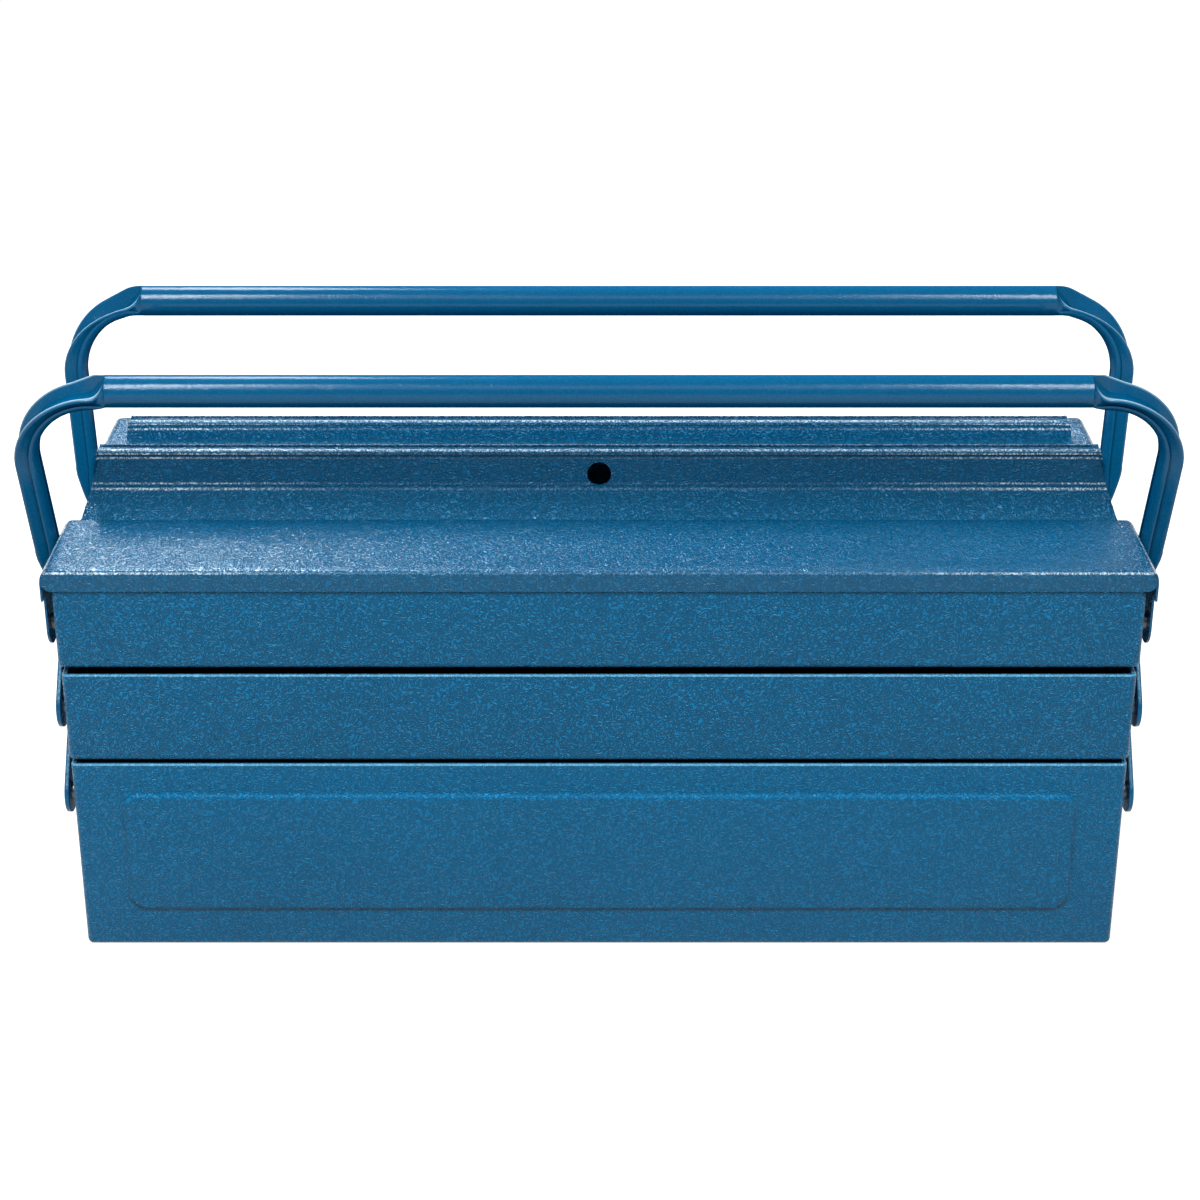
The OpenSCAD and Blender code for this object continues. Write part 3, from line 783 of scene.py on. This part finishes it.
@dataclass
class Handle:
    """Tube handle: round along the bar, its outer side pressed in to a trough over the bends and legs.

    The trough's near wall, on the viewer's side, is the lower one where the bar ends. Both open over a
    length, the far one also comes down from far_top, and below foot_top they fall to foot_depth.
    """

    near: float = 6.8
    far: float = 9.8
    low_side: float = -1.0
    far_top: float = 14.6
    far_fall: float = 16.0
    near_open: float = 9.0
    far_open: float = 11.0
    rise_from: float = 70.0
    tube_r: float = 7.5
    reach: float = 106.65
    bend_in: float = 27.0
    depth: float = 10.4
    half_w: float = 7.0
    corner_r: float = 3.6
    wall: float = 2.4
    turn: float = 4.0
    foot_h: float = 24.0
    foot_top: float = 20.0
    foot_depth: float = 2.8
    round_end: float = 224.5
    # Strength of the painted highlight on the trough's lips.
    lip_light: float = 0.75
    lip_cells: float = 1.6
    lip_fade: float = 4.0
    stretches: tuple[int, int, int, int] = (18, 7, 7, 18)

    def spine(self) -> tuple[Array, Array]:
        """Right half of the inner line of the handle, as points (x, s), and the angle of its outward normals.

        It runs straight under the bar, round the bend of bend_in, down the leg that turns inwards, and
        straight down the foot past the pivot.
        """
        z_bend = self.reach - self.bend_in - self.tube_r
        t = math.radians(self.turn)
        leg = (z_bend - self.bend_in * math.sin(t) - self.foot_h) / math.cos(t)
        x_bend = PLACE.foot_x - self.bend_in * math.cos(t) + leg * math.sin(t)
        bar_x = np.concatenate([np.linspace(0, self.round_end, 24)[:-1],
                                np.linspace(self.round_end, x_bend, 28)])
        bar = spread(bar_x, self.reach - self.tube_r)
        bend = arc((x_bend, z_bend), self.bend_in, 90, -self.turn, 56)[1:]
        legs = bend[-1] + (np.array([PLACE.foot_x, self.foot_h]) - bend[-1]) * np.linspace(0, 1, 10)[1:, None]
        foot_s = np.concatenate([np.linspace(self.foot_h, 4.0, 8)[1:],
                                 -self.half_w * np.sin(np.linspace(0, np.pi / 2, 9))[:-1],
                                 [-self.half_w * 0.995]])
        foot = spread(PLACE.foot_x, foot_s)
        angle = np.concatenate([np.full(len(bar), np.pi / 2), np.radians(np.linspace(90, -self.turn, 57))[1:],
                                np.full(len(legs) - 1, -t), [-t / 2], np.zeros(len(foot))])
        return np.concatenate([bar, bend, legs, foot]), angle

    def circle(self) -> Array:
        """Tube's section as points (n, w), n outwards from the inner line: all round, then across its top."""
        turns = (98, 225, 270, 315, 442)
        low = [arc((0, 0), self.tube_r, a, b, n)[:-1] for a, b, n in zip(turns, turns[1:], self.stretches)]
        ring = np.concatenate([*low, arc((0, 0), self.tube_r, 82, 98, sum(self.stretches))[:-1]])
        return spread(ring[:, 1] + self.tube_r, ring[:, 0])

    def channel(self, left_h: float, right_h: float, half_w: float) -> Array:
        """Trough's section as points (n, w): its outside from lip to lip, then its inside back again.

        Args:
            left_h: Height of the wall at negative w.
            right_h: Height of the wall at positive w.
            half_w: Half of its width.

        Returns:
            As many points as the circle has.
        """
        w, t = half_w, min(self.wall, half_w * 0.6)
        left_h, right_h = max(left_h, self.wall), max(right_h, self.wall)
        small, lip = min(left_h, right_h), t / 2
        r_out = min(self.corner_r, w * 0.8, small * 0.9)
        outside = rounded_path([(-w, left_h - lip), (-w, 0), (w, 0), (w, right_h - lip)], [r_out, r_out], 12)
        right = arc((w - lip, right_h - lip), lip, 0, 180, 8)
        left = arc((-w + lip, left_h - lip), lip, 0, 180, 8)
        floor = max(min(t, small - lip - 0.01), 0.2)
        r_in = min(self.corner_r, (w - t) * 0.9, max(small - lip - floor, 0.02) * 0.9)
        inside = rounded_path([(w - t, right_h - lip), (w - t, floor), (-w + t, floor), (-w + t, left_h - lip)],
                              [r_in, r_in], 8)
        parts = (np.concatenate([left[4:], outside[1:8]]), np.concatenate([outside[7:14], [[0, 0]]]),
                 np.concatenate([[[0, 0]], outside[14:21]]), np.concatenate([outside[20:], right[1:5]]))
        low = [resample(part, n + 1)[:-1] for part, n in zip(parts, self.stretches)]
        high = np.concatenate([right[4:], inside[1:], left[1:5]])
        ring = np.concatenate([*low, resample(high, sum(self.stretches) + 1)[:-1]])
        return ring[:, ::-1]

    def walls(self, fall: float, angle: float) -> tuple[float, float]:
        """Heights of the near and far wall at a length past the round bar and at the normal's angle."""
        rise = ease((self.rise_from - angle) / (self.rise_from + self.turn))
        far = self.far + (self.far_top - self.far) * (1 - ease(fall / self.far_fall))
        return self.near + (self.depth - self.near) * rise, far + (self.depth - far) * rise

    def build(self, name: str) -> Object:
        """Makes the handle: section k stands across the inner line at point k, and mixes circle and trough.

        Point = line + normal * n, with w across the plane, and the whole plane leans by the lean angle. The
        mix is 1 - (1 - t)^3 at the near wall and a smooth step at the far one, so the bar's top opens like a
        spoon whose near lip drops first.
        """
        line, angle = self.spine()
        past = lengths(line) - self.round_end
        circle = self.circle()
        rows = []
        for (x, s), a, run in zip(line, angle, past):
            near, far = self.walls(max(run, 0.0), math.degrees(a))
            half_w = self.half_w
            if s < self.foot_top:
                share = max(s / self.foot_top, 0.0) ** 0.7
                near = far = self.foot_depth + (self.depth - self.foot_depth) * share
                half_w = math.sqrt(max(self.half_w ** 2 - min(s, 0) ** 2, 0.36))
            trough = self.channel(*((near, far) if self.low_side < 0 else (far, near)), half_w)
            quick = 1 - (1 - min(max(run / self.near_open, 0.0), 1.0)) ** 3
            slow = ease(run / self.far_open)
            share = np.clip(0.5 - self.low_side * trough[:, 1] / (2 * half_w), 0, 1)
            out, across = (circle + (trough - circle) * (quick * (1 - share) + slow * share)[:, None]).T
            rows.append(spread(x + math.cos(a) * out, across, s + math.sin(a) * out))
        right = np.stack(rows)
        x, across, up = np.moveaxis(np.concatenate([right[:0:-1] * [-1, 1, 1], right]), -1, 0)
        lean = math.radians(PLACE.lean)
        shell = Shell()
        shell.solid(spread(x, PLACE.row_y[1] + across * math.cos(lean) - up * math.sin(lean),
                        PLACE.top_z + across * math.sin(lean) + up * math.cos(lean)))
        made = shell.make(name)
        self.mark_lips(made.data, past, len(circle))
        return made

    def mark_lips(self, mesh: Mesh, past: Array, ring_points: int) -> None:
        """Writes the attribute "lip", a painted highlight: lip_light on the crests of the trough's walls, gone
        lip_cells away.
        """
        index = np.arange(ring_points)
        gap = np.minimum(index % (ring_points // 2), -index % (ring_points // 2))
        row = self.lip_light * np.clip(1 - gap / self.lip_cells, 0, 1)
        share = np.array([ease(run / self.lip_fade) for run in past])
        share = np.concatenate([share[:0:-1], share])
        lip = mesh.attributes.new("lip", "FLOAT", "POINT")
        lip.data.foreach_set("value", np.outer(share, row).ravel().astype(np.float32))


@dataclass
class Arm:
    """Strip arm with round ends and eased edges, between its two pivots in Y and Z."""

    low: Point
    high: Point
    width: float = 21.0
    edge: float = 0.35

    def add_to(self, shell: Shell, end: End) -> None:
        """Adds the arm: two half circles about its end pivots, joined by straight sides."""
        turn = math.degrees(math.atan2(self.high[1] - self.low[1], self.high[0] - self.low[0]))
        r = self.width / 2
        outline = np.concatenate([arc(self.high, r, turn - 90, turn + 90, 28),
                                  arc(self.low, r, turn + 90, turn + 270, 28)])
        shell.plate(outline, *sorted((end.value * PLACE.arm_x, end.value * PLACE.arm_out)), self.edge)


@dataclass
class Rivet:
    """Shouldered rivet with a domed outer head and a flat inner head.

    It is set in a wall whose outer face is at wall, and holds what lies between first and last.
    """

    wall: float
    first: float
    last: float
    head_r: float = 5.4
    head_h: float = 1.5
    shoulder_r: float = 4.5
    journal_r: float = 3.0
    shank_r: float = 2.5
    side_gap: float = 0.1
    sheet: float = 1.0
    edge: float = 0.25
    tip_r: float = 0.3

    def profile(self) -> Array:
        """Section as points (x, r), from the inner head out to the dome's top: the dome is a quarter ellipse."""
        inside, start, head = self.wall - self.sheet, self.first - self.side_gap, self.last + self.side_gap
        inner = inside - self.head_h
        t = np.linspace(0, np.pi / 2, 8)
        dome = spread(head + self.edge + (self.head_h - self.edge) * np.sin(t),
                      self.tip_r + (self.head_r - self.tip_r) * np.cos(t))
        body = [(inner, self.tip_r), (inner, self.shoulder_r - 0.5), (inner + 0.4, self.shoulder_r),
                (inside, self.shoulder_r), (inside, self.shank_r), (self.wall, self.shank_r),
                (self.wall, self.shoulder_r), (start, self.shoulder_r), (start, self.journal_r),
                (head, self.journal_r), (head, self.head_r)]
        return np.concatenate([body, dome])

    def add_to(self, shell: Shell, y: float, z: float) -> None:
        """Adds the rivet at both ends of the box."""
        for end in End:
            shell.lathe(self.profile(), y, z, end)


@dataclass
class BaseUnit:
    """Base tray with its raised panels and rivets."""

    finishes: Finishes
    height: float = 100.0
    smooth_under: float = 32.0

    def build(self) -> None:
        """Builds and dresses the base tray and its rivets."""
        shell = Shell()
        Tray(PLACE.base_x, -PLACE.wall_y, PLACE.wall_y, 0.0, self.height).add_to(shell)
        for side in Side:
            RaisedPanel().add_to(shell, side)
        tray = shell.make("base_tray_sheet", self.smooth_under)
        dress(tray, "base_tray", "base", self.finishes.base)
        shell = Shell()
        rivet = Rivet(PLACE.base_x, PLACE.arm_x, PLACE.arm_out)
        first, second, _ = PLACE.row_y
        for y in (first, second, -first, -second):
            rivet.add_to(shell, y, PLACE.base_z)
        dress(shell.make("base_rivet_set"), "base_rivets", "base", self.finishes.zinc)


@dataclass
class SideUnit:
    """One half of the upper box: middle and top tray, lid, handle, arms and rivets.

    A level is a tray's half length, floor and height, and its divider's height.
    """

    side: Side
    finishes: Finishes
    far_y: float = -0.5
    mid: Level = (PLACE.mid_x, 101.5, 45.5, 34.0)
    top: Level = (PLACE.top_x, 150.0, 42.0, 30.0)
    rear_short: float = 8.6
    stud_y: float = -59.77
    stud_z: float = 181.07
    stud_out: float = 6.0
    smooth_under: float = 36.0

    def put(self, obj: Object, node: str, body: str, mat: Material) -> None:
        """Dresses a piece of this side, whose name goes in front of the node's and the body's."""
        dress(obj, self.name(node), self.name(body), mat, self.side)

    def name(self, word: str) -> str:
        """Name with the side in front of it."""
        return f"{self.side.word}_{word}"

    def make(self, shell: Shell, piece: str) -> Object:
        """Makes a shell into a piece of this side."""
        return shell.make(self.name(piece), self.smooth_under)

    def build(self) -> None:
        """Builds everything on this side."""
        self.build_trays()
        self.build_rivets()
        self.build_studs()
        self.build_arms()
        self.build_lid()
        handle = Handle(4.6, 11.5, 1.0, round_end=229.5) if self.side is Side.REAR else Handle()
        self.put(handle.build(self.name("handle_tube")), "handle", "handle_body", self.finishes.tube)

    def build_trays(self) -> None:
        """Builds the middle and top trays and their dividers."""
        for word, (half_x, floor, height, plate) in (("mid", self.mid), ("top", self.top)):
            tray = Tray(half_x, -PLACE.wall_y, self.far_y, floor, height)
            divider = Divider(floor + tray.sheet, plate)
            for piece, kind, suffix, mat in ((tray, "tray", "sheet", self.finishes.sheet),
                                             (divider, "divider", "plate", self.finishes.arm)):
                shell = Shell()
                piece.add_to(shell)
                node = f"{word}_{kind}"
                self.put(self.make(shell, f"{node}_{suffix}"), node, word, mat)

    def build_rivets(self) -> None:
        """Builds the rivets of both trays."""
        rivet = Rivet(PLACE.mid_x, PLACE.arm_x, PLACE.arm_out)
        mid = [(rivet, y, PLACE.mid_z) for y in PLACE.row_y]
        top = [(Rivet(PLACE.top_x, PLACE.flange_x, PLACE.lid_x), PLACE.row_y[0], PLACE.lid_z),
               (Rivet(PLACE.top_x, PLACE.arm_x, PLACE.foot_out, head_r=4.2), PLACE.row_y[1], PLACE.top_z),
               (Rivet(PLACE.top_x, PLACE.arm_x, PLACE.arm_out), PLACE.row_y[2], PLACE.top_z)]
        for word, rivets in (("mid", mid), ("top", top)):
            shell = Shell()
            for rivet, y, z in rivets:
                rivet.add_to(shell, y, z)
            self.put(self.make(shell, f"{word}_rivet_set"), f"{word}_rivets", word, self.finishes.zinc)

    def build_studs(self) -> None:
        """Builds the studs that the handle leans on: a weld's collar at the tray and a rounded tip."""
        shell = Shell()
        x, tip = PLACE.top_x, PLACE.foot_x + self.stud_out
        stud = np.array([(x - 0.9, 0.3), (x - 0.9, 2.5), (x, 2.5), (x, 3.3), (x + 0.2, 3.5), (x + 0.8, 3.4),
                         (x + 1.0, 2.9), (x + 1.3, 2.5), (tip - 0.5, 2.5), (tip - 0.1, 2.2), (tip, 1.7),
                         (tip, 0.3)])
        for end in End:
            shell.lathe(stud, self.stud_y, self.stud_z, end)
        self.put(self.make(shell, "handle_stop_studs"), "handle_stops", "top", self.finishes.zinc)

    def build_arms(self) -> None:
        """Builds the three pairs of arms."""
        y0, y1, y2 = PLACE.row_y
        arms = {"long": Arm((y0, PLACE.base_z), (y2, PLACE.top_z)),
                "lower": Arm((y1, PLACE.base_z), (y2, PLACE.mid_z)),
                "upper": Arm((y0, PLACE.mid_z), (y1, PLACE.top_z))}
        for word, arm in arms.items():
            for end in End:
                shell = Shell()
                arm.add_to(shell, end)
                node = f"{word}_arm_{end.word}"
                self.put(self.make(shell, f"{node}_strip"), node, f"{word}_arms", self.finishes.arm)

    def build_lid(self) -> None:
        """Builds the lid; the rear one has a shorter raised centre and no hole."""
        rear = self.side is Side.REAR
        lid = Lid(foot_x=Lid.foot_x - self.rear_short) if rear else Lid()
        panel = lid.build_panel(self.name("lid_sheet"))
        self.put(panel, "lid", "lid_body", self.finishes.lid)
        ridge = lid.build_ridge(self.name("lid_ridge_sheet"), hole=not rear)
        self.put(ridge, "lid_ridge", "lid_body", self.finishes.lid)


@dataclass(frozen=True)
class SoftBox:
    """Rectangular area light that looks at a point."""

    name: str
    place: Vector
    target: Vector
    size: Point
    power: float

    def build(self) -> None:
        """Places the light."""
        data = bpy.data.lights.new(self.name, "AREA")
        data.shape = "RECTANGLE"
        data.size, data.size_y = self.size
        data.energy = self.power
        lamp = linked(self.name, data)
        lamp.location = self.place
        away = np.array(self.target) - np.array(self.place)
        flat = math.hypot(away[0], away[1])
        lamp.rotation_euler = (math.atan2(flat, -away[2]), 0, math.atan2(-away[0], away[1]))


@dataclass
class Studio:
    """Camera, lights, floor and the white surroundings, in metres."""

    lamps: tuple[SoftBox, ...] = (
        SoftBox("key", (-0.05, -1.2, 1.5), (0, 0, 0.15), (1.7, 0.7), 4.4),
        SoftBox("strip_left", (-0.5, -0.93, 1.38), (-0.23, -0.05, 0.25), (0.13, 0.8), 16.0),
        SoftBox("strip_right", (0.52, -0.93, 1.38), (0.22, -0.05, 0.25), (0.11, 0.8), 12.0),
        SoftBox("sheen", (-0.38, 0.8, 1.12), (-0.15, -0.05, 0.2), (0.26, 0.7), 17.5),
        SoftBox("sheen_right", (0.8, 0.8, 1.1), (0.3, -0.05, 0.2), (0.2, 0.7), 3.0),
        SoftBox("low_band", (0.0, 1.35, 0.78), (0, 0, 0.23), (0.9, 0.3), 12.0))
    world_light: float = 0.265
    floor_half: float = 60.0
    floor_glow: float = 0.9
    lens: float = 76.5
    shift: float = 0.00075
    camera: Vector = (0, -1.1648, 0.6706)
    down: float = 24.5

    def build(self) -> None:
        """Builds the studio."""
        for lamp in self.lamps:
            lamp.build()
        self.build_world()
        self.build_floor()
        self.build_camera()

    def build_world(self) -> None:
        """Even pale light from all round; the camera looks down and sees the floor alone."""
        world = bpy.context.scene.world or bpy.data.worlds.new("studio")
        bpy.context.scene.world = world
        world.use_nodes = True
        sky = world.node_tree.nodes["Background"]
        sky.inputs["Color"].default_value = (0.95, 0.97, 1.0, 1.0)
        sky.inputs["Strength"].default_value = self.world_light

    def build_floor(self) -> None:
        """Pale floor that keeps a soft shadow and fades into white."""
        mesh = bpy.data.meshes.new("floor")
        corners = spread(*self.floor_half * np.array([[-1, 1, 1, -1], [-1, -1, 1, 1]]), 0)
        mesh.from_pydata(corners.tolist(), [], [(0, 1, 2, 3)])
        mat = bpy.data.materials.new("floor_white")
        mat.use_nodes = True
        mat.node_tree.nodes.clear()
        n = Nodes(mat.node_tree)
        matt = n.add("ShaderNodeBsdfDiffuse", {"Color": (0.3, 0.3, 0.3, 1)}).outputs[0]
        glow = n.add("ShaderNodeEmission", {"Color": (1, 1, 1, 1), "Strength": self.floor_glow}).outputs[0]
        path = n.add("ShaderNodeLightPath").outputs
        seen = n.math("MAXIMUM", n.math("MAXIMUM", path["Is Camera Ray"], path["Is Glossy Ray"]),
                      path["Is Transmission Ray"])
        both = n.add("ShaderNodeAddShader", {0: matt, 1: glow}).outputs[0]
        mixed = n.add("ShaderNodeMixShader", {"Fac": seen, 1: matt, 2: both}).outputs[0]
        n.add("ShaderNodeOutputMaterial", {"Surface": mixed})
        mesh.materials.append(mat)
        linked("floor", mesh)

    def build_camera(self) -> None:
        """Camera as solved from the photograph's edges."""
        data = bpy.data.cameras.new("camera")
        data.lens = self.lens
        data.sensor_width = 36.0
        data.shift_x = self.shift
        camera = linked("camera", data)
        camera.location = self.camera
        camera.rotation_euler = (math.radians(90 - self.down), 0, 0)
        bpy.context.scene.camera = camera


def main() -> None:
    """Builds the box and the studio around it."""
    logging.basicConfig(level=logging.INFO, format="%(message)s")
    bpy.context.scene.view_settings.view_transform = "Standard"
    finishes = Finishes()
    BaseUnit(finishes).build()
    for side in Side:
        SideUnit(side, finishes).build()
    Studio().build()


if __name__ == "__main__":
    main()
